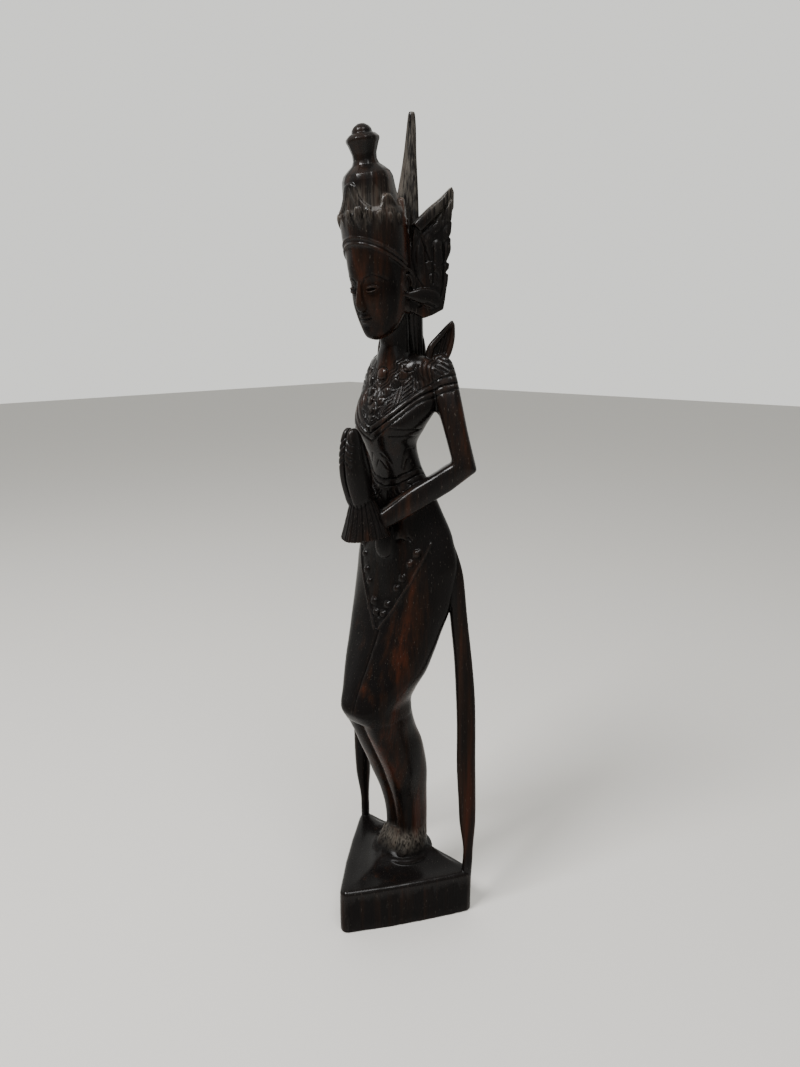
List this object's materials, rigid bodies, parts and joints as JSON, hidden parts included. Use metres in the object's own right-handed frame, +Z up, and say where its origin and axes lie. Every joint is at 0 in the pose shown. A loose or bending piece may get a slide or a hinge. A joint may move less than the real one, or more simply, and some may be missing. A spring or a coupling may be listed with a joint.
{
  "type": "carved wooden dancer statue",
  "caption": "Slender dark hardwood statue of a crowned dancer with pressed palms, bent knees, trailing sash tails and a wedge shaped plinth, carved in one piece.",
  "frame": {"origin": "on the underside of the plinth, on the figure's mid plane, where the statue stands", "axes": "+Z up along the figure, -Y the way the figure faces, +X to the figure's left hand side"},
  "size_m": [0.0731, 0.0553, 0.35],
  "materials": {
    "dark_wood": "polished dark hardwood with reddish brown streaks along the grain, satin sheen"
  },
  "bodies": {
    "root": {"carved_figure": "dark_wood"}
  },
  "joints": []
}
